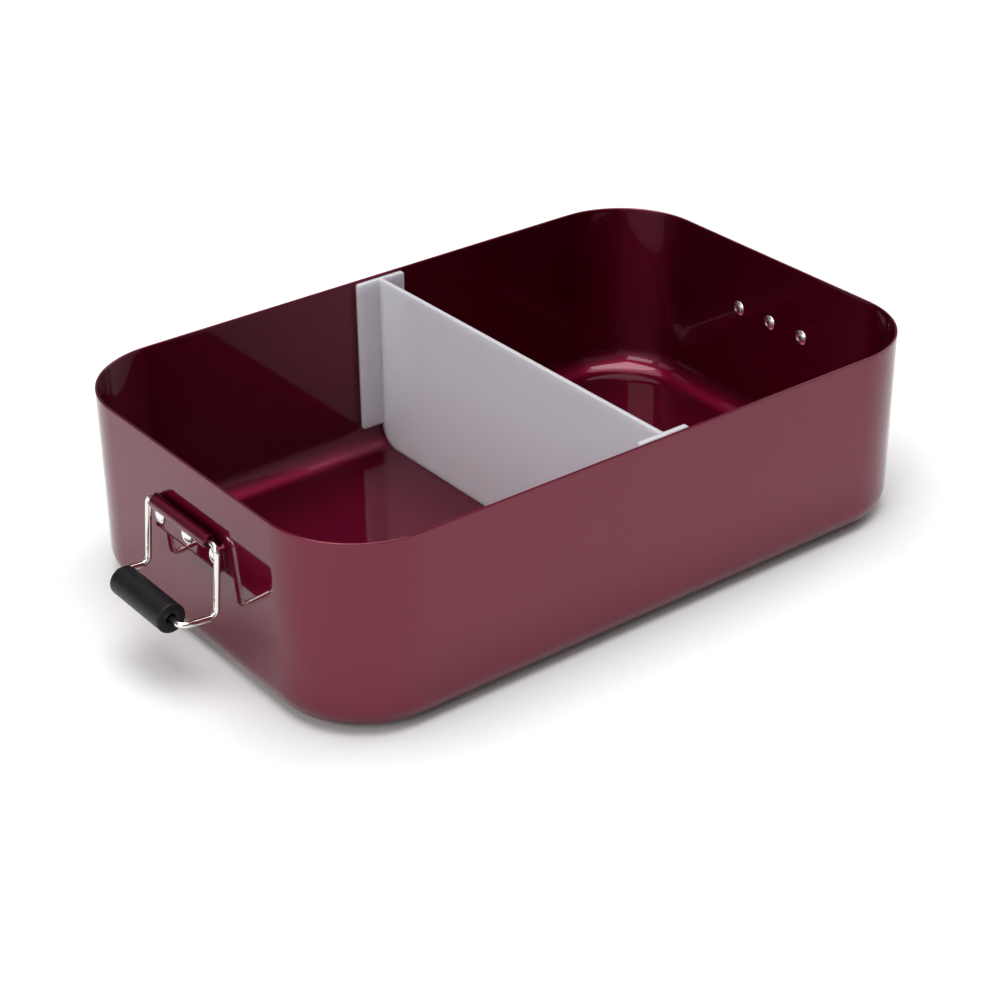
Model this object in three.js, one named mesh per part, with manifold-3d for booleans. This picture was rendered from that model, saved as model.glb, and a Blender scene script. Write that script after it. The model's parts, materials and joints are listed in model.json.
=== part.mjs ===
// An open aluminium lunch box: a deep-drawn tub with a carrying bail riveted to each end and a
// loose plastic divider. Millimetres, +Z up. The origin is on the underside, at the middle of the tub.
// X runs along the box, and the two ends are alike: the right one is the left one turned half round.
import * as THREE from 'three';
import { mergeVertices } from 'three/addons/utils/BufferGeometryUtils.js';
import Module from 'manifold-3d';

// ---- Driving dimensions ----

// Tub: one drawn sheet, open at the top.
const TUB_LENGTH = 235;
const TUB_WIDTH = 150;
const TUB_HEIGHT = 64;
const TUB_WALL = 0.8;
const CORNER_RADIUS = 30.5; // outside, seen from above
const BASE_RADIUS = 9; // outside, where the floor turns up into the walls
const CORNER_SEGMENTS = 10;
const BASE_SEGMENTS = 5;

// Divider: a web across the box with a flange at each end that lies along the long wall.
const DIVIDER_X = 2.8; // where it stands, from the middle of the box
const WEB_THICKNESS = 1.4;
const FLANGE_WIDTH = 19;
const FLANGE_THICKNESS = 1.4;
const FLANGE_CORNER = 0.8;
const DIVIDER_BELOW_RIM = 0.3;
const DIVIDER_GAP = 0.2; // to the tub's floor
const DIVIDER_PLAY = 1.2; // to each of the tub's long walls

// Bail: a bent wire that turns in the bracket's rolled edge and carries the grip.
const WIRE_DIAMETER = 2;
const WIRE_BEND_RADIUS = 2.5; // to the wire's centre line
const BAIL_HALF_SPAN = 19.4; // from the middle of the box to the centre of either arm
const PIVOT_BELOW_RIM = 18.6;
const LID_ALLOWANCE = 4; // how far the bail reaches over the rim when it is swung up
const LEG_LENGTH = 11.8; // from the arm out to the grip's axis
const ARM_LEAN = THREE.MathUtils.degToRad(5); // hanging arms stand this far off the wall
const LEG_RISE = THREE.MathUtils.degToRad(5); // the legs climb outwards by this
const WIRE_END_GAP = 4; // between the wire's two ends, inside the knuckle
const WIRE_SIDES = 10;
const WIRE_STEP = 1.35; // along the wire

// Bracket: a sheet leaf riveted to the end wall, its top edge rolled into the bail's knuckle.
const BRACKET_SHEET = 1;
const KNUCKLE_CLEARANCE = 0.25; // round the wire
const KNUCKLE_SIDE_GAP = 1.6; // from the knuckle's end to where the wire starts to bend
const KNUCKLE_SEAM = 0.2; // between the rolled edge and the leaf
const KNUCKLE_SEGMENTS = 20;
const LEAF_MARGIN = 1.1; // leaf past the centre of each arm
const LEAF_BELOW_RIVETS = 1.85; // leaf under the rivet heads
const LEAF_CORNER = 4;
const LEAF_TOP_CORNER = 2;

// Rivets: three in a row hold each bracket.
const RIVET_HEAD_DIAMETER = 5.3;
const RIVET_HEAD_HEIGHT = 1.2;
const RIVET_HEAD_EDGE = 0.3; // straight edge under the dome
const RIVET_SHANK_DIAMETER = 3;
const RIVET_DIMPLE_DEPTH = 0.35; // in the inside head, where it was set
const RIVET_DIMPLE_RADIUS = 0.9;
const RIVET_SEGMENTS = 20;
const RIVET_ARM_GAP = 0.25; // between an outer rivet's head and the arm beside it
const RIVET_KNUCKLE_GAP = 0.4; // between the heads and the knuckle above them
const SEAT_GAP = 0.05; // between riveted faces
const HOLE_CLEARANCE = 0.1; // round a rivet's shank

// Grip: a plastic roller on the bail's crossbar.
const GRIP_DIAMETER = 9.5;
const GRIP_END_PLAY = 2.8; // from the grip's end to where the wire starts to bend
const GRIP_EDGE = 0.8;
const GRIP_BORE_CLEARANCE = 0.15;
const GRIP_MOUTH_RADIUS = 2.1; // the bore flares to this at each end
const GRIP_MOUTH_DEPTH = 1.4;
const GRIP_SEGMENTS = 32;

// ---- Worked-out sizes ----

const wireRadius = WIRE_DIAMETER / 2;
const knuckleBore = wireRadius + KNUCKLE_CLEARANCE;
const knuckleRadius = knuckleBore + BRACKET_SHEET;
const knuckleHalfLength = BAIL_HALF_SPAN - WIRE_BEND_RADIUS - KNUCKLE_SIDE_GAP;
const bracketBack = TUB_LENGTH / 2 + SEAT_GAP; // distance from the box's middle, as the next two are
const leafFront = bracketBack + BRACKET_SHEET;
const pivotOut = bracketBack + knuckleRadius;
const pivotHeight = TUB_HEIGHT - PIVOT_BELOW_RIM;
const armLength = PIVOT_BELOW_RIM + LID_ALLOWANCE;

const rivetHeadRadius = RIVET_HEAD_DIAMETER / 2;
const rivetPitch = BAIL_HALF_SPAN - wireRadius - RIVET_ARM_GAP - rivetHeadRadius;
const rivetHeight = pivotHeight - knuckleRadius - RIVET_KNUCKLE_GAP - rivetHeadRadius;
const rivetRow = { back: rivetPitch, middle: 0, front: -rivetPitch };
const leafBottom = rivetHeight - rivetHeadRadius - LEAF_BELOW_RIVETS;

// ---- Solids ----

const wasm = await Module();
wasm.setup();

const X = new THREE.Vector3(1, 0, 0);
const Y = new THREE.Vector3(0, 1, 0);
const Z = new THREE.Vector3(0, 0, 1);

function solidFrom(geometry) {
  const bare = geometry.clone();
  bare.deleteAttribute('normal');
  bare.deleteAttribute('uv');
  const merged = mergeVertices(bare, 1e-4);
  return new wasm.Manifold(
    new wasm.Mesh({
      numProp: 3,
      vertProperties: new Float32Array(merged.attributes.position.array),
      triVerts: new Uint32Array(merged.index.array),
    }),
  );
}

function geometryFrom(solid) {
  const { vertProperties, triVerts } = solid.getMesh();
  const geometry = new THREE.BufferGeometry();
  geometry.setAttribute('position', new THREE.BufferAttribute(vertProperties, 3));
  geometry.setIndex(new THREE.BufferAttribute(triVerts, 1));
  geometry.computeVertexNormals();
  return geometry;
}

// A rectangle about (0, centreY) with one radius at its lower corners and another at its upper ones.
function roundedRectangle(width, height, lowerRadius, upperRadius = lowerRadius, centreY = 0) {
  const right = width / 2;
  const [low, high] = [centreY - height / 2, centreY + height / 2];
  const shape = new THREE.Shape();
  shape.absarc(right - lowerRadius, low + lowerRadius, lowerRadius, -Math.PI / 2, 0);
  shape.absarc(right - upperRadius, high - upperRadius, upperRadius, 0, Math.PI / 2);
  shape.absarc(-right + upperRadius, high - upperRadius, upperRadius, Math.PI / 2, Math.PI);
  shape.absarc(-right + lowerRadius, low + lowerRadius, lowerRadius, Math.PI, 1.5 * Math.PI);
  return shape;
}

// A flat piece: the shape's own x and y are laid along two axes, and it gets its thickness along the third.
function plate(shape, thickness, alongShapeX, alongShapeY, curveSegments) {
  const geometry = new THREE.ExtrudeGeometry(shape, {
    depth: thickness,
    bevelEnabled: false,
    curveSegments,
  });
  const normal = new THREE.Vector3().crossVectors(alongShapeX, alongShapeY);
  return geometry
    .translate(0, 0, -thickness / 2)
    .applyMatrix4(new THREE.Matrix4().makeBasis(alongShapeX, alongShapeY, normal));
}

function rodAlongX(radius, length, segments) {
  return new THREE.CylinderGeometry(radius, radius, length, segments).rotateZ(Math.PI / 2);
}

// ---- Tub ----

// The tub's outside, taken in by inset all round: straight walls over a rounded bottom edge.
function tubForm(inset) {
  const edge = BASE_RADIUS - inset;
  const outline = roundedRectangle(
    TUB_LENGTH - 2 * inset,
    TUB_WIDTH - 2 * inset,
    CORNER_RADIUS - inset,
  );
  return new THREE.ExtrudeGeometry(outline, {
    depth: TUB_HEIGHT,
    bevelThickness: edge,
    bevelSize: edge,
    bevelOffset: -edge,
    bevelSegments: BASE_SEGMENTS,
    curveSegments: CORNER_SEGMENTS,
  }).translate(0, 0, BASE_RADIUS);
}

function tubGeometry() {
  const aboveRim = new THREE.BoxGeometry(2 * TUB_LENGTH, 2 * TUB_WIDTH, 2 * TUB_HEIGHT);
  aboveRim.translate(0, 0, 2 * TUB_HEIGHT);
  let tub = solidFrom(tubForm(0))
    .subtract(solidFrom(tubForm(TUB_WALL)))
    .subtract(solidFrom(aboveRim));
  const holeRadius = RIVET_SHANK_DIAMETER / 2 + HOLE_CLEARANCE;
  for (const y of Object.values(rivetRow)) {
    const throughBothEnds = rodAlongX(holeRadius, 2 * TUB_LENGTH, RIVET_SEGMENTS);
    tub = tub.subtract(solidFrom(throughBothEnds.translate(0, y, rivetHeight)));
  }
  return geometryFrom(tub);
}

// ---- Divider ----

function dividerGeometry() {
  const halfWidth = TUB_WIDTH / 2 - TUB_WALL - DIVIDER_PLAY;
  const bottom = TUB_WALL + DIVIDER_GAP;
  const top = TUB_HEIGHT - DIVIDER_BELOW_RIM;
  const cornerRadius = BASE_RADIUS - TUB_WALL - DIVIDER_GAP; // follows the tub's bottom edge
  const webOutline = roundedRectangle(
    2 * halfWidth,
    top - bottom,
    cornerRadius,
    FLANGE_CORNER / 4,
    (top + bottom) / 2,
  );
  let divider = solidFrom(plate(webOutline, WEB_THICKNESS, Y, Z, BASE_SEGMENTS));
  const flangeBottom = BASE_RADIUS + DIVIDER_GAP;
  const flangeOutline = roundedRectangle(
    FLANGE_WIDTH,
    top - flangeBottom,
    FLANGE_CORNER,
    FLANGE_CORNER,
    (top + flangeBottom) / 2,
  );
  for (const side of [-1, 1]) {
    const flange = plate(flangeOutline, FLANGE_THICKNESS, X, Z, 4);
    flange.translate(0, side * (halfWidth - FLANGE_THICKNESS / 2), 0);
    divider = divider.add(solidFrom(flange));
  }
  return geometryFrom(divider);
}

// ---- Bracket, drawn for the left end, whose outward side is -X ----

function bracketGeometry() {
  const leafWidth = 2 * (BAIL_HALF_SPAN + LEAF_MARGIN);
  const leafOutline = roundedRectangle(
    leafWidth,
    pivotHeight - leafBottom,
    LEAF_CORNER,
    LEAF_TOP_CORNER,
    (pivotHeight + leafBottom) / 2,
  );
  const leaf = plate(leafOutline, BRACKET_SHEET, Y, Z, 6);
  leaf.translate(-(bracketBack + leafFront) / 2, 0, 0);

  // The rolled edge, seen along Y: up the leaf's back, over the wire and down to just clear of the leaf.
  const overhang = Math.asin((knuckleRadius - BRACKET_SHEET - KNUCKLE_SEAM) / knuckleRadius);
  const rollEnd = -Math.PI / 2 + overhang;
  const roll = new THREE.Shape();
  roll.absarc(0, 0, knuckleRadius, 0, rollEnd + 2 * Math.PI, false);
  roll.absarc(0, 0, knuckleBore, rollEnd + 2 * Math.PI, 0, true);
  const knuckle = plate(roll, 2 * knuckleHalfLength, X, Z, KNUCKLE_SEGMENTS);
  knuckle.translate(-pivotOut, 0, pivotHeight);

  let bracket = solidFrom(leaf).add(solidFrom(knuckle));
  const holeRadius = RIVET_SHANK_DIAMETER / 2 + HOLE_CLEARANCE;
  for (const y of Object.values(rivetRow)) {
    const hole = rodAlongX(holeRadius, 4 * BRACKET_SHEET, RIVET_SEGMENTS);
    hole.translate(-bracketBack, y, rivetHeight);
    bracket = bracket.subtract(solidFrom(hole));
  }
  return geometryFrom(bracket);
}

// ---- Rivet, turned about Y and then laid over, so that its outside head faces -X ----

function rivetGeometry() {
  const outerSeat = leafFront + SEAT_GAP;
  const innerSeat = TUB_LENGTH / 2 - TUB_WALL - SEAT_GAP;
  const domeHeight = RIVET_HEAD_HEIGHT - RIVET_HEAD_EDGE;
  const sphereRadius = (rivetHeadRadius ** 2 + domeHeight ** 2) / (2 * domeHeight);
  // How far a head stands off its seat at a radius.
  const standOff = (radius) =>
    RIVET_HEAD_HEIGHT - sphereRadius + Math.sqrt(sphereRadius ** 2 - radius ** 2);
  const shoulder = 0.85 * rivetHeadRadius;
  const slope = 0.6 * rivetHeadRadius;
  const shank = RIVET_SHANK_DIAMETER / 2;
  const profile = [
    [0, innerSeat - RIVET_HEAD_HEIGHT + RIVET_DIMPLE_DEPTH],
    ...[RIVET_DIMPLE_RADIUS, slope, shoulder].map((r) => [r, innerSeat - standOff(r)]),
    [rivetHeadRadius, innerSeat - RIVET_HEAD_EDGE],
    [rivetHeadRadius, innerSeat],
    [shank, innerSeat],
    [shank, outerSeat],
    [rivetHeadRadius, outerSeat],
    [rivetHeadRadius, outerSeat + RIVET_HEAD_EDGE],
    ...[shoulder, slope, RIVET_DIMPLE_RADIUS].map((r) => [r, outerSeat + standOff(r)]),
    [0, outerSeat + RIVET_HEAD_HEIGHT],
  ];
  const points = profile.map(([radius, along]) => new THREE.Vector2(radius, along));
  return new THREE.LatheGeometry(points, RIVET_SEGMENTS).rotateZ(Math.PI / 2);
}

// ---- Bail and grip, drawn about the pivot for the left end ----

// A circular arc about a centre, from a start point that it leaves along a direction.
class Bend extends THREE.Curve {
  constructor(centre, start, direction, angle) {
    super();
    Object.assign(this, { centre, start, direction, angle });
  }
  getPoint(t, target = new THREE.Vector3()) {
    const arm = this.start.clone().sub(this.centre);
    const turned = t * this.angle;
    return target
      .copy(this.centre)
      .addScaledVector(arm, Math.cos(turned))
      .addScaledVector(this.direction, arm.length() * Math.sin(turned));
  }
}

// A path through corner points, each corner turned with one bend radius.
class BentWire extends THREE.CurvePath {
  constructor(corners, bendRadius) {
    super();
    let from = corners[0];
    for (let i = 1; i < corners.length - 1; i++) {
      const corner = corners[i];
      const back = corners[i - 1].clone().sub(corner).normalize();
      const ahead = corners[i + 1].clone().sub(corner).normalize();
      const half = back.angleTo(ahead) / 2;
      const start = corner.clone().addScaledVector(back, bendRadius / Math.tan(half));
      const centre = corner
        .clone()
        .addScaledVector(back.clone().add(ahead).normalize(), bendRadius / Math.sin(half));
      this.add(new THREE.LineCurve3(from, start));
      const bend = new Bend(centre, start, back.clone().negate(), Math.PI - 2 * half);
      this.add(bend);
      from = bend.getPoint(1);
    }
    this.add(new THREE.LineCurve3(from, corners.at(-1)));
  }
}

const armEnd = new THREE.Vector3(-Math.sin(ARM_LEAN), 0, -Math.cos(ARM_LEAN)).multiplyScalar(armLength);
const gripAxis = armEnd
  .clone()
  .add(new THREE.Vector3(-Math.cos(LEG_RISE), 0, Math.sin(LEG_RISE)).multiplyScalar(LEG_LENGTH));

function bailGeometry() {
  const pivot = new THREE.Vector3();
  const at = (point, y) => new THREE.Vector3(point.x, y, point.z);
  const corners = [
    at(pivot, WIRE_END_GAP / 2),
    at(pivot, BAIL_HALF_SPAN),
    at(armEnd, BAIL_HALF_SPAN),
    at(gripAxis, BAIL_HALF_SPAN),
    at(gripAxis, -BAIL_HALF_SPAN),
    at(armEnd, -BAIL_HALF_SPAN),
    at(pivot, -BAIL_HALF_SPAN),
    at(pivot, -WIRE_END_GAP / 2),
  ];
  const wire = new BentWire(corners, WIRE_BEND_RADIUS);
  const section = new THREE.Shape();
  for (let i = 0; i < WIRE_SIDES; i++) {
    const angle = (2 * Math.PI * i) / WIRE_SIDES;
    const [x, y] = [wireRadius * Math.cos(angle), wireRadius * Math.sin(angle)];
    if (i === 0) section.moveTo(x, y);
    else section.lineTo(x, y);
  }
  return new THREE.ExtrudeGeometry(section, {
    steps: Math.round(wire.getLength() / WIRE_STEP),
    extrudePath: wire,
    bevelEnabled: false,
  });
}

function gripGeometry() {
  const halfLength = BAIL_HALF_SPAN - WIRE_BEND_RADIUS - GRIP_END_PLAY;
  const bore = wireRadius + GRIP_BORE_CLEARANCE;
  const radius = GRIP_DIAMETER / 2;
  const half = [
    [bore, halfLength - GRIP_MOUTH_DEPTH],
    [GRIP_MOUTH_RADIUS, halfLength],
    [radius - GRIP_EDGE, halfLength],
    [radius - GRIP_EDGE * (1 - Math.SQRT1_2), halfLength - GRIP_EDGE * (1 - Math.SQRT1_2)],
    [radius, halfLength - GRIP_EDGE],
  ];
  const lower = half.map(([r, y]) => [r, -y]);
  const upper = [...half].reverse();
  const profile = [...lower, ...upper, lower[0]].map(([r, y]) => new THREE.Vector2(r, y));
  return new THREE.LatheGeometry(profile, GRIP_SEGMENTS);
}

// ---- Assembly ----

const burgundy = new THREE.MeshStandardMaterial({ color: 0x6e1226, roughness: 0.25, metalness: 1 });
const bareAluminium = new THREE.MeshStandardMaterial({ color: 0xd6d6d8, roughness: 0.3, metalness: 1 });
const platedSteel = new THREE.MeshStandardMaterial({ color: 0xe4e2e0, roughness: 0.15, metalness: 1 });
const blackPlastic = new THREE.MeshStandardMaterial({ color: 0x1c1c1f, roughness: 0.45, metalness: 0 });
const frostedPlastic = new THREE.MeshStandardMaterial({
  color: 0xd8d9e2,
  roughness: 0.4,
  metalness: 0,
  transparent: true,
  opacity: 0.75,
});

function piece(name, geometry, material) {
  const mesh = new THREE.Mesh(geometry, material);
  mesh.name = name;
  return mesh;
}

// Everything riveted to one end, as it is at the left end.
function endFittings(side) {
  const fittings = new THREE.Group();
  fittings.add(piece(`${side}_bracket`, bracketGeometry(), burgundy));
  for (const [place, y] of Object.entries(rivetRow)) {
    const rivet = piece(`${side}_rivet_${place}`, rivetGeometry(), bareAluminium);
    rivet.position.set(0, y, rivetHeight);
    fittings.add(rivet);
  }
  const handle = new THREE.Group();
  handle.position.set(-pivotOut, 0, pivotHeight);
  handle.add(piece(`${side}_bail`, bailGeometry(), platedSteel));
  const grip = piece(`${side}_grip`, gripGeometry(), blackPlastic);
  grip.position.copy(gripAxis);
  handle.add(grip);
  fittings.add(handle);
  return fittings;
}

const lunchBox = new THREE.Group();
lunchBox.add(piece('tub', tubGeometry(), burgundy));

const divider = piece('divider', dividerGeometry(), frostedPlastic);
divider.position.x = DIVIDER_X;
lunchBox.add(divider);

lunchBox.add(endFittings('left'));
const rightEnd = endFittings('right');
rightEnd.rotation.z = Math.PI;
lunchBox.add(rightEnd);

export default lunchBox;
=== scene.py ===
import json
import math

import bmesh
import bpy
import numpy as np
from mathutils import Matrix, Vector


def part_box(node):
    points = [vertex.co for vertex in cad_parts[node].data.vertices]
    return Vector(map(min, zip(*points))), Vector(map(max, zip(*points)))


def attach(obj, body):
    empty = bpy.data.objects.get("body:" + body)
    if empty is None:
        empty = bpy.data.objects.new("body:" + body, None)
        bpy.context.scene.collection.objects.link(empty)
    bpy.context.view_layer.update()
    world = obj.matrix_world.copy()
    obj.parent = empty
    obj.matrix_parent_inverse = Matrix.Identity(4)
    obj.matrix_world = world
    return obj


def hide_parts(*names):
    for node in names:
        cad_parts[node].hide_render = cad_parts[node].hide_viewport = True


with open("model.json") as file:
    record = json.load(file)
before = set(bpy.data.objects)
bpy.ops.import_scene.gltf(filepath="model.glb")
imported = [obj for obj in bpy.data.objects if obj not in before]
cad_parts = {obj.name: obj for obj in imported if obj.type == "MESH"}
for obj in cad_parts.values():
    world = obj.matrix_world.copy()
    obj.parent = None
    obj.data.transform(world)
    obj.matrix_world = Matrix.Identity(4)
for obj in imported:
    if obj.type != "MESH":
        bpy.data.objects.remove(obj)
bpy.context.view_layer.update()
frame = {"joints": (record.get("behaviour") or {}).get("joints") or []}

# An open lunch box of dyed aluminium, made in the order in which it is put together: the drawn tub,
# a bracket riveted to each end, a wire bail with its grip in each bracket, and the loose divider.
# Lengths are in metres. Places come from the frame, and the right end is the left one turned half round.


# ---- The tub ----
# One aluminium sheet, deep drawn into a box with rounded corners and a rounded bottom edge, trimmed
# flat at the rim, dyed burgundy and sealed. The seal is clear and glossy over softly matt metal.

mm = 0.001
half_length, half_width, rim_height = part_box("tub")[1]
sheet = 0.8 * mm
corner_radius = 30.5 * mm
base_radius = 9 * mm  # outside, where the floor turns up into the walls
rim_round = 0.25 * mm  # the trimmed edge, smoothed
wall_bow = 0.05 * mm  # drawn walls are never quite flat
edge_steps = 12  # round the bottom edge
wall_rows = 11  # up a wall, between the bottom edge and the rim


def eased(start, end, steps):
    """Numbers from start to end, closer together near both: the way along is (1 - cos(pi * t)) / 2."""
    t = np.linspace(0, 1, steps + 1)
    return start + (end - start) * (1 - np.cos(np.pi * t)) / 2


def rounded_outline(half_x, half_y, radius, corner_steps, side_steps):
    """Once round a rounded rectangle, anticlockwise from above: for each point the centre that it swings
    about, and its outward normal, so that the point is centre + radius * normal. Round a corner the
    normal turns through a quarter, and along a side the centre slides from one corner's to the next's."""
    x, y = half_x - radius, half_y - radius
    corners = np.array([(x, -y), (x, y), (-x, y), (-x, -y)])
    turn = np.arange(corner_steps) / corner_steps
    slide = eased(0, 1, side_steps)[:-1, None]
    centres, angles = [], []
    for i, corner in enumerate(corners):
        centres += [np.tile(corner, (corner_steps, 1)), corner + slide * (corners[(i + 1) % 4] - corner)]
        angles += [(i - 1 + turn) * np.pi / 2, np.full(side_steps, i * np.pi / 2)]
    angles = np.concatenate(angles)
    return np.concatenate(centres), np.stack([np.cos(angles), np.sin(angles)], -1)


def tub_surface():
    """Rows of points from the middle of the underside, round the bottom edge, up the outside, over the
    rim, down the inside and in to the middle of the floor. A wall point lies at centre + (radius - inset
    - bow) * normal, where the bow is wall_bow / 4 * (2 + sin(5 * way + 0.6) + sin(11 * way)) * sin(pi *
    height / rim_height). A floor point lies part of the way from the floor's edge to a short ridge line
    on the long axis."""
    centres, normals = rounded_outline(
        half_length, half_width, corner_radius, corner_steps=24, side_steps=36
    )
    quarter = np.linspace(0, np.pi / 2, edge_steps + 1)
    inner_radius = base_radius - sheet
    top = rim_height - rim_round
    small = np.linspace(0, np.pi / 2, 4)
    inset = np.concatenate([
        base_radius * (1 - np.sin(quarter)),
        np.zeros(wall_rows),
        rim_round * (1 - np.cos(small)),
        sheet - rim_round * (1 - np.sin(small)),
        np.full(wall_rows, sheet),
        sheet + inner_radius * (1 - np.sin(quarter[::-1])),
    ])
    height = np.concatenate([
        base_radius * (1 - np.cos(quarter)),
        eased(base_radius, top, wall_rows + 1)[1:-1],
        top + rim_round * np.sin(small),
        top + rim_round * np.cos(small),
        eased(top, base_radius, wall_rows + 1)[1:-1],
        sheet + inner_radius * (1 - np.cos(quarter[::-1])),
    ])
    way_round = 2 * np.pi * np.arange(len(centres)) / len(centres)
    waves = 2 + np.sin(5 * way_round + 0.6) + np.sin(11 * way_round)
    bow = wall_bow / 4 * waves * np.sin(np.pi * height / rim_height)[:, None]
    reach = corner_radius - inset[:, None] - bow
    flat = centres + reach[..., None] * normals
    walls = np.concatenate([flat, np.broadcast_to(height[:, None, None], flat.shape[:2] + (1,))], -1)

    ridge = centres * ((half_length - half_width) / (half_length - corner_radius), 0)
    inward = np.linspace(0, 1, 9)[1:, None, None]
    under, floor = (edge + inward * (ridge - edge) for edge in (flat[0], flat[-1]))
    under, floor = (
        np.concatenate([rows, np.full(rows.shape[:2] + (1,), level)], -1)
        for rows, level in ((under, 0), (floor, sheet))
    )
    return np.concatenate([under[::-1], walls, floor])


def grid_faces(rows, columns, close_rows=False, close_columns=True):
    """Four-cornered faces between neighbouring points of a grid, joined round where it closes."""
    row = np.arange(rows if close_rows else rows - 1)[:, None]
    column = np.arange(columns if close_columns else columns - 1)[None, :]
    row, column = np.broadcast_arrays(row, column)
    next_row, next_column = (row + 1) % rows, (column + 1) % columns
    corners = ((row, column), (row, next_column), (next_row, next_column), (next_row, column))
    return np.stack([r * columns + c for r, c in corners], -1).reshape(-1, 4)


class Signal:
    """One output socket of a material's nodes. Arithmetic on it adds Math nodes."""

    def __init__(self, finish, socket):
        self.finish = finish
        self.socket = socket

    def maths(self, operation, *values):
        return self.finish.add("ShaderNodeMath", {"operation": operation}, dict(enumerate(values)))

    def __add__(self, other):
        return self.maths("ADD", self, other)

    def __mul__(self, other):
        return self.maths("MULTIPLY", self, other)

    def __pow__(self, other):
        return self.maths("POWER", self, other)

    def clamped(self):
        return self.finish.add("ShaderNodeClamp", {}, {"Value": self})

    __radd__ = __add__
    __rmul__ = __mul__


class Finish:
    """A procedural material on a piece's Object coordinates, built up a node at a time."""

    def __init__(self, name):
        self.material = bpy.data.materials.new(name)
        self.material.use_nodes = True
        self.tree = self.material.node_tree
        self.tree.nodes.clear()
        self.place = self.add("ShaderNodeTexCoord", output="Object")

    def add(self, kind, settings=(), inputs=(), output=0):
        """Adds a node: its settings first, then a value or a link for each input. Returns one output."""
        node = self.tree.nodes.new(kind)
        for name, value in dict(settings).items():
            setattr(node, name, value)
        for name, value in dict(inputs).items():
            if isinstance(value, Signal):
                self.tree.links.new(value.socket, node.inputs[name])
            else:
                node.inputs[name].default_value = value
        return Signal(self, node.outputs[output])

    def noise(self, size, detail=2, stretch=(1, 1, 1)):
        """Cloudy noise from 0 to 1, its features about that size and drawn out along an axis by stretch."""
        squeeze = tuple(1 / (size * s) for s in stretch)
        place = self.add("ShaderNodeMapping", {}, {"Vector": self.place, "Scale": squeeze}, "Vector")
        return self.add("ShaderNodeTexNoise", {}, {"Vector": place, "Scale": 1, "Detail": detail}, 0)

    def mixed(self, share, first, second):
        """A colour that goes from the first to the second as share goes from 0 to 1."""
        return self.add("ShaderNodeMix", {"data_type": "RGBA"}, {0: share, 6: first, 7: second}, 2)

    def bump(self, height, depth):
        """A normal for a surface that stands up by depth metres where height is 1."""
        inputs = {"Height": height, "Distance": depth, "Strength": 1}
        return self.add("ShaderNodeBump", {}, inputs, "Normal")

    def coat(self, inputs):
        """Ends the material in a Principled surface with those inputs."""
        surface = self.add("ShaderNodeBsdfPrincipled", {}, inputs)
        output = self.tree.nodes.new("ShaderNodeOutputMaterial")
        self.tree.links.new(surface.socket, output.inputs["Surface"])
        return self.material


dye_deep = (0.125, 0.0022, 0.018, 1)
dye_bright = (0.165, 0.0035, 0.027, 1)
dyed_edge = (0.45, 0.45, 0.45, 1)  # the dye darkens the metal even at a glancing angle
seal_sheen = 0.04  # roughness of the clear seal


def dyed_aluminium():
    """Metal under a deep red dye that varies a little from place to place, with fine lines drawn up the
    walls by the die, and the clear seal over it."""
    finish = Finish("dyed_aluminium")
    clouds = finish.noise(45 * mm, 3)
    lines = finish.noise(0.5 * mm, 2, stretch=(1, 1, 60))
    grain = finish.noise(0.12 * mm, 2)
    share = (clouds * 0.8 + lines * 0.2).clamped()
    return finish.coat({
        "Base Color": finish.mixed(share, dye_deep, dye_bright),
        "Metallic": 1.0,
        "Specular Tint": dyed_edge,
        "Roughness": 0.4 + clouds * 0.08 + lines * 0.05,
        "Normal": finish.bump(grain + lines * 0.5, 0.004 * mm),
        "Coat Weight": 1.0,
        "Coat Roughness": seal_sheen,
        "Coat IOR": 1.44,
    })


weld_gap = 0.001 * mm


def make_piece(name, points, faces, material, body, nodes):
    """Puts points and faces into a smooth, welded mesh that faces outwards, and stands it in for the
    CAD nodes on their body."""
    mesh = bpy.data.meshes.new(name)
    mesh.from_pydata(points.reshape(-1, 3).tolist(), [], [tuple(face) for face in faces])
    work = bmesh.new()
    work.from_mesh(mesh)
    bmesh.ops.remove_doubles(work, verts=work.verts, dist=weld_gap)
    bmesh.ops.dissolve_degenerate(work, edges=work.edges, dist=weld_gap / 2)
    bmesh.ops.recalc_face_normals(work, faces=work.faces)
    work.to_mesh(mesh)
    work.free()
    mesh.shade_smooth()
    mesh.materials.append(material)
    piece = bpy.data.objects.new(name, mesh)
    bpy.context.scene.collection.objects.link(piece)
    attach(piece, body)
    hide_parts(*nodes)
    return piece


burgundy = dyed_aluminium()
tub = tub_surface()
make_piece("tub_shell", tub, grid_faces(*tub.shape[:2]), burgundy, "box", ["tub"])


# ---- The brackets ----
# A blanked leaf of 1 mm sheet in the tub's colour, riveted flat to the end wall. Its top edge is
# rolled over the bail's wire into an open knuckle, and its lower corners are rounded.

bracket_sheet = 1 * mm
leaf_corner = 4 * mm
ear_corner = 2 * mm
blanked_edge = 0.18 * mm
knuckle_half = 15.3 * mm
knuckle_gap = 0.2 * mm  # from the rolled edge back to the leaf
joints = {joint["name"]: joint for joint in frame["joints"]}
pivot_height = joints["left_bail_swing"]["pos_m"][2]
pivot_out = -joints["left_bail_swing"]["pos_m"][0]
leaf_low, leaf_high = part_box("left_bracket")
leaf_half = leaf_high.y
leaf_bottom = leaf_low.z
roll_radius = leaf_high.z - pivot_height  # outside
leaf_middle = -leaf_high.x + bracket_sheet / 2  # how far out the leaf's mid-plane lies
ends = {"left": np.array((1, 1, 1)), "right": np.array((-1, -1, 1))}


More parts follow.
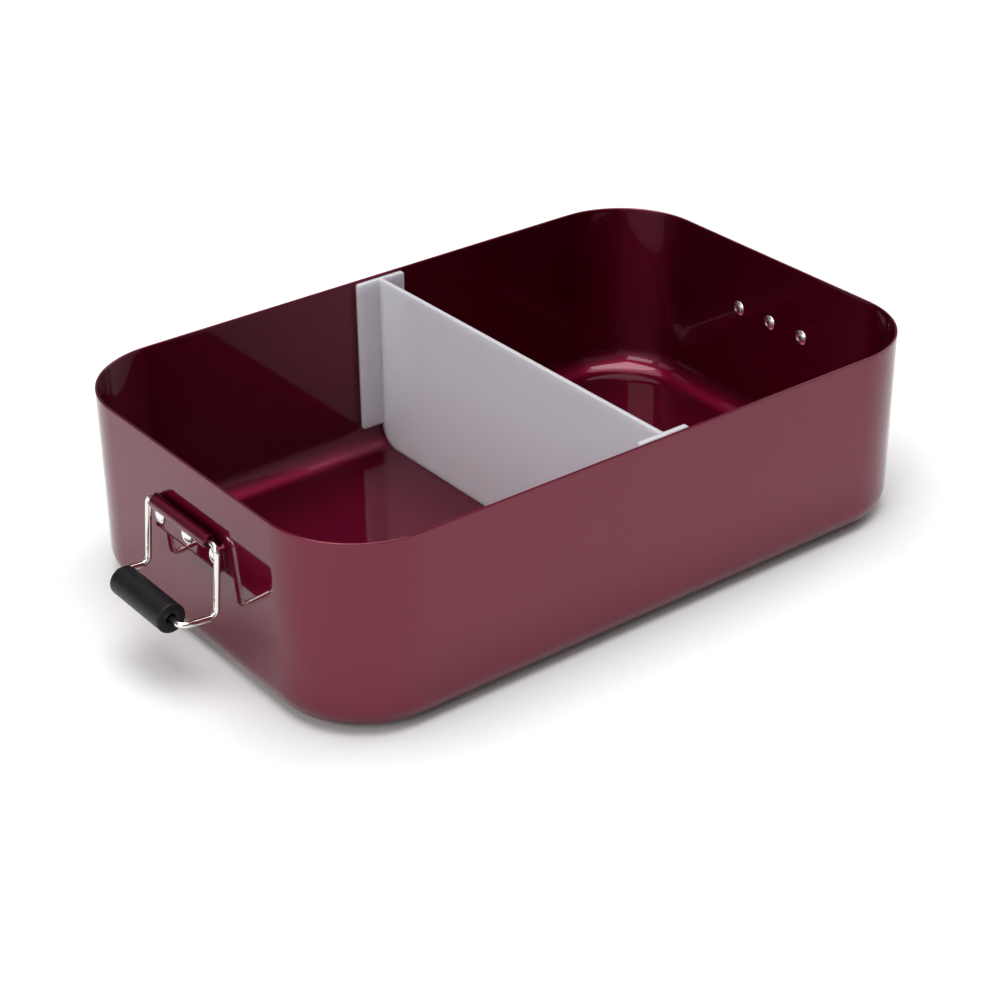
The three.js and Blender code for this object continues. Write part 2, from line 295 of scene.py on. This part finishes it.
def bracket_sheet_surface():
    """The middle of the sheet for the left end, as rows across it: straight up the leaf, then round the
    pivot from the wall side over the top and under, to just clear of the leaf. Each row spans its own
    half width, which follows a circle at the leaf's lower corners and again at its ears. The roll's first
    row is a hair above the leaf's last, so that the ears end in a narrow step and not a slanting face."""
    bend = roll_radius - bracket_sheet / 2
    overhang = math.asin((roll_radius - bracket_sheet - knuckle_gap) / roll_radius)
    lower = leaf_bottom + leaf_corner * (1 - np.cos(np.linspace(0, np.pi / 2, 9)))
    upper = pivot_height - ear_corner * (1 - np.sin(np.linspace(0, np.pi / 2, 7)))
    straight = np.concatenate([lower, np.linspace(lower[-1], upper[0], 5)[1:-1], upper])
    below = np.clip(leaf_bottom + leaf_corner - straight, 0, None)
    above = np.clip(straight - (pivot_height - ear_corner), 0, None)
    half = leaf_half - leaf_corner + np.sqrt(leaf_corner**2 - below**2)
    half += np.sqrt(ear_corner**2 - above**2) - ear_corner
    turn = np.linspace(0, 1.5 * np.pi + overhang, 40)
    out = np.concatenate([np.full(len(straight), leaf_middle), pivot_out - bend * np.cos(turn)])
    step = np.where(turn == 0, 0.1 * mm, 0)
    height = np.concatenate([straight, pivot_height + step + bend * np.sin(turn)])
    half = np.concatenate([half, np.full(len(turn), knuckle_half)])
    across = np.linspace(-1, 1, 41)
    grid = np.empty((len(out), len(across), 3))
    grid[..., 0] = -out[:, None]
    grid[..., 1] = half[:, None] * across
    grid[..., 2] = height[:, None]
    return grid


for side, turned in ends.items():
    grid = bracket_sheet_surface() * turned
    faces = grid_faces(*grid.shape[:2], close_columns=False)
    name = f"{side}_bracket"
    bracket = make_piece(f"{name}_sheet", grid, faces, burgundy, "box", [name])
    thicken = bracket.modifiers.new("thickness", "SOLIDIFY")
    thicken.thickness = bracket_sheet
    thicken.offset = 0
    thicken.use_even_offset = True
    soften = bracket.modifiers.new("blanked_edge", "BEVEL")
    soften.width = blanked_edge
    soften.segments = 3
    soften.limit_method = "ANGLE"
    soften.angle_limit = math.radians(50)
    bracket.modifiers.new("shading", "WEIGHTED_NORMAL").keep_sharp = True


# ---- The rivets ----
# Three bright aluminium rivets hold each bracket: a low domed head outside, a shank through both
# sheets, and inside a second head that the setting tool closed, with its ring and dimple.

rivet_head = (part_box("left_rivet_middle")[1].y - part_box("left_rivet_middle")[0].y) / 2
rivet_shank = 1.5 * mm
head_height = 1.2 * mm
head_edge = 0.3 * mm
cup_radius = 0.45 * rivet_head
cup_depth = 0.4 * mm


def lathe(profile, sides):
    """Turns a profile of (radius, way along) points about the local X axis, as rows along the profile."""
    angle = 2 * np.pi * np.arange(sides) / sides
    radius, along = np.array(profile).T[..., None]
    around = np.stack([np.cos(angle), np.sin(angle)])
    return np.stack([along + 0 * angle, radius * around[0], radius * around[1]], -1)


def rivet_profile(inner_seat, outer_seat):
    """From the inside head's middle to the outside head's: a head stands off its seat by the height of a
    low dome, sqrt(R^2 - r^2) less its value at the edge, over a short straight edge."""
    dome = head_height - head_edge
    sphere = (rivet_head**2 + dome**2) / (2 * dome)
    r = rivet_head * np.sin(np.linspace(0, np.pi / 2, 14))
    stand = head_edge + np.sqrt(sphere**2 - r**2) - (sphere - dome)
    # The setting tool leaves a shallow cup in the inside head, cup_depth * (1 - (r / cup_radius)^4).
    past_lip = 1.6 * cup_radius
    fine = np.concatenate([np.linspace(0, past_lip, 16), r[r > past_lip]])
    inner = head_edge + np.sqrt(sphere**2 - fine**2) - (sphere - dome)
    inner -= cup_depth * np.clip(1 - (fine / cup_radius) ** 4, 0, None)
    inside = [(radius, inner_seat - h) for radius, h in zip(fine, inner)]
    outside = [(radius, outer_seat + h) for radius, h in zip(r[::-1], stand[::-1])]
    shank = [(rivet_head, inner_seat), (rivet_shank, inner_seat), (rivet_shank, outer_seat),
             (rivet_head, outer_seat)]
    return inside + shank + outside


aluminium_dull = (0.78, 0.78, 0.79, 1)
aluminium_bright = (0.9, 0.9, 0.91, 1)


def bright_aluminium():
    """Bare metal, a little hazy, with the fine scratches of handling."""
    finish = Finish("bright_aluminium")
    haze = finish.noise(1.2 * mm, 3)
    scratches = finish.noise(0.06 * mm, 1, stretch=(1, 14, 1)) ** 6
    return finish.coat({
        "Base Color": finish.mixed(haze, aluminium_dull, aluminium_bright),
        "Metallic": 1.0,
        "Roughness": 0.16 + haze * 0.14,
        "Normal": finish.bump(haze + scratches, 0.02 * mm),
    })


aluminium = bright_aluminium()
for side, turned in ends.items():
    for place in ("back", "middle", "front"):
        node = f"{side}_rivet_{place}"
        low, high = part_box(node)
        outer, inner = sorted((abs(low.x), abs(high.x)), reverse=True)
        points = lathe(rivet_profile(inner + head_height, outer - head_height), sides=40)
        points[..., 0] *= -turned[0]
        points[..., 1:] += ((low.y + high.y) / 2, (low.z + high.z) / 2)
        faces = grid_faces(*points.shape[:2])
        make_piece(f"{node}_set", points, faces, aluminium, "box", [node])


# ---- The bails ----
# Drawn steel wire, nickel plated: in through the knuckle, down one arm, out along the leg to the
# crossbar, and back the same way on the other side. Its two ends stop 4 mm apart inside the knuckle.

wire_radius = 1 * mm
bend_radius = 2.5 * mm  # to the wire's centre line
arm_lean = math.radians(5)
bail_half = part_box("left_bail")[1].y - wire_radius
grip_out = -joints["left_grip_spin"]["pos_m"][0]
grip_height = joints["left_grip_spin"]["pos_m"][2]
wire_end = 2 * mm  # from the middle to where each end stops
arm_length = 22.6 * mm


def bent_path(corners, radius, step):
    """Points along straight runs joined by arcs of one radius, and the direction at each. An arc starts
    radius / tan(half the corner's angle) short of its corner, and swings about a centre on the
    corner's bisector."""
    corners = np.array(corners, float)
    points, ways = [], []
    start = corners[0]
    for before, corner, after in zip(corners, corners[1:], corners[2:]):
        back = (before - corner) / np.linalg.norm(before - corner)
        ahead = (after - corner) / np.linalg.norm(after - corner)
        half = math.acos(np.clip(back @ ahead, -1, 1)) / 2
        tangent = corner + back * radius / math.tan(half)
        bisector = (back + ahead) / np.linalg.norm(back + ahead)
        centre = corner + bisector * radius / math.sin(half)
        along = np.linspace(0, 1, max(2, int(np.linalg.norm(tangent - start) / step)), endpoint=False)
        points.append(start + along[:, None] * (tangent - start))
        ways.append(np.tile(-back, (len(along), 1)))
        sweep = np.linspace(0, np.pi - 2 * half, 10, endpoint=False)[:, None]
        arm = tangent - centre
        points.append(centre + arm * np.cos(sweep) - back * radius * np.sin(sweep))
        ways.append(-back * np.cos(sweep) - arm / radius * np.sin(sweep))
        start = corner + ahead * radius / math.tan(half)
    along = np.linspace(0, 1, 6)[:, None]
    points.append(start + along * (corners[-1] - start))
    ways.append(np.tile((corners[-1] - start) / np.linalg.norm(corners[-1] - start), (6, 1)))
    return np.concatenate(points), np.concatenate(ways)


def round_wire(points, ways, radius, sides, reference):
    """A circle carried along the path, square to it: each ring is point + radius * (side * cos + up *
    sin), where side is square to the path and to the reference. The ends draw in to a cut face."""
    side = np.cross(ways, reference)
    side /= np.linalg.norm(side, axis=1, keepdims=True)
    up = np.cross(side, ways)
    angle = 2 * np.pi * np.arange(sides) / sides
    ring = side[:, None] * np.cos(angle)[:, None] + up[:, None] * np.sin(angle)[:, None]
    tube = points[:, None] + radius * ring
    bevel = 0.15 * radius
    first = [points[0] + 0 * ring[0], points[0] + (radius - bevel) * ring[0]]
    last = [points[-1] + (radius - bevel) * ring[-1], points[-1] + 0 * ring[-1]]
    tube[0] += ways[0] * bevel
    tube[-1] -= ways[-1] * bevel
    return np.concatenate([first, tube, last])


nickel_dull = (0.72, 0.69, 0.65, 1)
nickel_bright = (0.86, 0.83, 0.79, 1)


def plated_steel():
    """Nickel plating, slightly warm, with fine lines along the drawn wire and a few dull patches."""
    finish = Finish("plated_steel")
    patches = finish.noise(5 * mm, 3)
    lines = finish.noise(0.25 * mm, 2, stretch=(1, 1, 12))
    return finish.coat({
        "Base Color": finish.mixed(patches, nickel_dull, nickel_bright),
        "Metallic": 1.0,
        "Roughness": 0.08 + patches * 0.1,
        "Normal": finish.bump(lines, 0.006 * mm),
    })


plated = plated_steel()
arm_end = (pivot_out + arm_length * math.sin(arm_lean), pivot_height - arm_length * math.cos(arm_lean))
elbows = [
    (-pivot_out, wire_end, pivot_height),
    (-pivot_out, bail_half, pivot_height),
    (-arm_end[0], bail_half, arm_end[1]),
    (-grip_out, bail_half, grip_height),
    (-grip_out, -bail_half, grip_height),
    (-arm_end[0], -bail_half, arm_end[1]),
    (-pivot_out, -bail_half, pivot_height),
    (-pivot_out, -wire_end, pivot_height),
]
path = bent_path(elbows, bend_radius, step=1 * mm)
wire = round_wire(*path, wire_radius, sides=24, reference=(1, 0, -1))
wire_faces = grid_faces(*wire.shape[:2])
for side, turned in ends.items():
    name = f"{side}_bail"
    make_piece(f"{name}_wire", wire * turned, wire_faces, plated, name, [name])


# ---- The grips ----
# A tube of black polypropylene that was slid on the wire before its last bends, and still rolls on
# the crossbar. Its ends are cut square, with a rounded edge and a bore that opens out at the mouth.

grip_low, grip_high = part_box("left_grip")
grip_radius = (grip_high.z - grip_low.z) / 2
grip_half = grip_high.y
grip_edge = 0.7 * mm
grip_bore = 1.15 * mm
mouth_radius = 2.1 * mm
mouth_depth = 1.4 * mm
side_margin = 0.3 * mm  # from the rounded edge to the first row along the outside


def grip_surface():
    """A closed profile of (radius, way along) turned about the crossbar: down the bore, out over the
    flared mouth and flat end, round the quarter-circle edge, and along the outside, then mirrored."""
    quarter = np.linspace(0, np.pi / 2, 7)
    flare = np.linspace(0, 1, 7)
    mouth = grip_bore + (mouth_radius - grip_bore) * flare**2
    edge = grip_radius - grip_edge * (1 - np.sin(quarter))
    half = [(grip_bore, 0)]
    half += list(zip(mouth, grip_half - mouth_depth * (1 - flare)))
    half += [(radius, grip_half) for radius in np.linspace(mouth_radius, edge[0], 5)[1:-1]]
    half += list(zip(edge, grip_half - grip_edge * (1 - np.cos(quarter))))
    half += [(grip_radius, way) for way in np.linspace(grip_half - grip_edge - side_margin, 0, 8)]
    other = [(radius, -way) for radius, way in half[-2:0:-1]]
    turned = lathe(half + other, sides=64)
    return turned[..., [1, 0, 2]]


black_new = (0.004, 0.004, 0.005, 1)
black_worn = (0.009, 0.009, 0.011, 1)


def black_polypropylene():
    """Satin black, finely pebbled by the mould, slightly greyer where it is handled."""
    finish = Finish("black_polypropylene")
    pebble = finish.noise(0.25 * mm, 2)
    handled = finish.noise(6 * mm, 3)
    return finish.coat({
        "Base Color": finish.mixed(handled, black_new, black_worn),
        "Roughness": 0.36 + handled * 0.12,
        "Normal": finish.bump(pebble, 0.02 * mm),
        "IOR": 1.49,
        "Specular IOR Level": 0.22,
    })


black = black_polypropylene()
for side, turned in ends.items():
    name = f"{side}_grip"
    tube = (grip_surface() + (-grip_out, 0, grip_height)) * turned
    faces = grid_faces(*tube.shape[:2], close_rows=True)
    make_piece(f"{name}_tube", tube, faces, black, name, [name])


# ---- The divider ----
# One moulding of frosted polypropylene: a thin web across the box, with a flange at each end that
# lies along the long wall. It stands loose in the tub, so it slides and lifts out.

divider_low, divider_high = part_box("divider")
divider_x = (divider_low.x + divider_high.x) / 2
divider_half = divider_high.y
flange_half = (divider_high.x - divider_low.x) / 2
plate = 1.4 * mm  # thickness of web and flanges
fillet = 0.5 * mm
web_corner = base_radius - divider_low.z  # about as round as the tub's bottom edge
flange_corner = 0.8 * mm
flange_bottom = base_radius + 0.2 * mm


def divider_surface():
    """Level by level, a section from above: web half thickness, a small fillet, and flanges. Below the
    flanges their half width is the web's own, and the web shortens along a circle, as the tub's
    bottom edge does. At their corners the flanges narrow along a circle."""
    bend = np.linspace(0, np.pi / 2, 9)
    low = divider_low.z + web_corner * (1 - np.cos(bend))
    flange_low = flange_bottom + flange_corner * (1 - np.cos(bend[::2]))
    top = divider_high.z
    flange_high = top - flange_corner * (1 - np.sin(bend[::2]))
    between = np.linspace(flange_low[-1], flange_high[0], 12)[1:-1]
    heights = np.concatenate([low, [flange_bottom], flange_low, between, flange_high])
    below_web = np.clip(divider_low.z + web_corner - heights, 0, None)
    half = divider_half - web_corner + np.sqrt(web_corner**2 - below_web**2)
    short = np.clip(flange_bottom + flange_corner - heights, 0, flange_corner)
    short += np.clip(heights - (top - flange_corner), 0, flange_corner)
    flange = flange_half - flange_corner + np.sqrt(np.clip(flange_corner**2 - short**2, 0, None))
    has_flange = np.arange(len(heights)) > len(low)
    flange = np.where(has_flange, flange, plate / 2)

    arc = np.linspace(0, np.pi / 2, 5)
    inner_round = np.minimum(fillet, flange - plate / 2)[:, None]
    # One quarter of the section, from the middle of the web out to the flange's outer face.
    web_y = (half - plate)[:, None] - inner_round
    quarter_x = np.concatenate([
        np.full((len(heights), 4), plate / 2),
        plate / 2 + inner_round * (1 - np.cos(arc)),
        flange[:, None], flange[:, None],
    ], 1)
    quarter_y = np.concatenate([
        web_y * np.array([0.1, 0.4, 0.7, 0.95]),
        web_y + inner_round * np.sin(arc),
        (half - plate)[:, None], half[:, None],
    ], 1)
    x = np.concatenate([quarter_x, -quarter_x[:, ::-1], -quarter_x, quarter_x[:, ::-1]], 1)
    y = np.concatenate([quarter_y, quarter_y[:, ::-1], -quarter_y, -quarter_y[:, ::-1]], 1)
    z = np.broadcast_to(heights[:, None], x.shape)
    return np.stack([divider_x + x, y, z], -1)


milk_thick = (0.81, 0.81, 0.95, 1)
milk_thin = (0.87, 0.87, 0.98, 1)


def frosted_polypropylene():
    """Milky, faintly blue plastic that light passes through but shapes don't, with a satin skin and the
    slow ripple of a thin moulding."""
    finish = Finish("frosted_polypropylene")
    milk = finish.noise(18 * mm, 3)
    skin = finish.noise(0.3 * mm, 2)
    return finish.coat({
        "Base Color": finish.mixed(milk, milk_thick, milk_thin),
        "Roughness": 0.34 + milk * 0.08,
        "Normal": finish.bump(skin + milk * 4, 0.01 * mm),
        "IOR": 1.49,
        "Transmission Weight": 0.35,
        "Subsurface Weight": 0.8,
        "Subsurface Radius": (1.0, 1.0, 1.1),
        "Subsurface Scale": 6 * mm,
    })


section = divider_surface()
levels, points_round = section.shape[:2]
faces = [tuple(face) for face in grid_faces(levels, points_round)]
faces += [tuple(range(points_round)), tuple(range((levels - 1) * points_round, levels * points_round))]
frosted = frosted_polypropylene()
make_piece("divider_moulding", section, faces, frosted, "divider", ["divider"])


# ---- The studio ----
# A broad pale floor under soft light from all round, with a large soft box overhead, one at the left
# and a weaker one at the right, and the camera above the front left corner of the box.

sweep_half = 6.0
sweep_points = sweep_half * np.array([(-1, -1, 0), (1, -1, 0), (1, 1, 0), (-1, 1, 0)])
sweep_mesh = bpy.data.meshes.new("sweep")
sweep_mesh.from_pydata(sweep_points.tolist(), [], [(0, 1, 2, 3)])
sweep = bpy.data.objects.new("sweep", sweep_mesh)
bpy.context.scene.collection.objects.link(sweep)
paper_grey = (0.73, 0.73, 0.73, 1)
paper_light = (0.75, 0.75, 0.75, 1)
paper = Finish("pale_paper")
fleck = paper.noise(3 * mm, 2)
sweep_mesh.materials.append(paper.coat({
    "Base Color": paper.mixed(fleck, paper_grey, paper_light),
    "Roughness": 0.9,
}))

room_light = 0.2
room = bpy.data.worlds.new("room")
room.use_nodes = True
walls = room.node_tree.nodes["Background"]
walls.inputs["Color"].default_value = (1, 1, 1, 1)
walls.inputs["Strength"].default_value = room_light
bpy.context.scene.world = room


def soft_box(name, place, target, size, power):
    """A square area light of that size in metres, turned to face the target."""
    light = bpy.data.lights.new(name, "AREA")
    light.size = size
    light.energy = power
    lamp = bpy.data.objects.new(name, light)
    lamp.location = place
    lamp.rotation_euler = (Vector(target) - Vector(place)).to_track_quat("-Z", "Y").to_euler()
    bpy.context.scene.collection.objects.link(lamp)


soft_box("overhead", (-0.15, 0.1, 1.8), (-0.15, 0.1, 0), 1.6, 43)
soft_box("side", (-1.6, -0.5, 0.9), (0, 0, 0.03), 1.2, 17)
soft_box("fill", (1.5, 0, 1.1), (0, 0, 0.03), 1.0, 11)

azimuth, elevation, roll = (math.radians(angle) for angle in (-37.63, 29.43, -0.49))
camera_target = Vector((-0.02352, -0.02739, 0.03065))
camera_distance = 0.7121
view = bpy.data.cameras.new("camera")
view.sensor_width = 36
view.lens = 82.85
camera = bpy.data.objects.new("camera", view)
turn = (
    Matrix.Rotation(azimuth, 3, "Z")
    @ Matrix.Rotation(math.pi / 2 - elevation, 3, "X")
    @ Matrix.Rotation(roll, 3, "Z")
)
place = camera_target + turn @ Vector((0, 0, camera_distance))
camera.matrix_world = Matrix.Translation(place) @ turn.to_4x4()
bpy.context.scene.collection.objects.link(camera)
bpy.context.scene.camera = camera
bpy.context.scene.view_settings.view_transform = "Standard"
